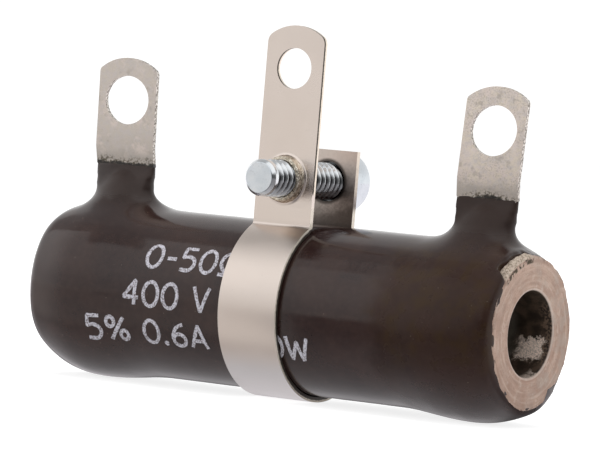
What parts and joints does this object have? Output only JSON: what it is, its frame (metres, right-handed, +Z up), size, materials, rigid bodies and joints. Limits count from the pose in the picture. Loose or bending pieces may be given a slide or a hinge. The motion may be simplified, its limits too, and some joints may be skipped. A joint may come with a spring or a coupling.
{
  "type": "adjustable wirewound resistor",
  "caption": "Tubular wire-wound power resistor: hollow ceramic core in brown vitreous enamel, drilled end lugs, and a clamped tap band that slides along a bare strip.",
  "frame": {"origin": "middle of the core's mounting bore", "axes": "+X along the core, towards the right end in the picture; +Z up along the lugs; +Y to the back, where the bare strip is"},
  "size_m": [0.0508, 0.0172, 0.0349],
  "materials": {
    "core_ceramic": "matt fired ceramic, pinkish beige",
    "resistance_wire": "drawn resistance alloy wire",
    "terminal_metal": "dull tinned alloy sheet with fine dark speckle",
    "brown_enamel": "glossy dark brown vitreous enamel",
    "band_nickel": "smooth nickel plate",
    "screw_zinc": "bright zinc plate"
  },
  "bodies": {
    "resistor_body": {"ceramic_core": "core_ceramic", "resistance_winding": "resistance_wire", "left_terminal": "terminal_metal", "right_terminal": "terminal_metal", "enamel_coating": "brown_enamel"},
    "tap": {"tap_band": "band_nickel"},
    "screw": {"clamp_screw": "screw_zinc"}
  },
  "joints": [
    {"name": "tap_slide", "type": "slide", "parent": "resistor_body", "child": "tap", "axis": [1, 0, 0], "range_m": [-0.009, 0.009]},
    {"name": "screw_turn", "type": "hinge", "parent": "tap", "child": "screw", "pos_m": [0, 0, 0.01204], "axis": [0, 1, 0], "range_deg": [0, 720]}
  ]
}
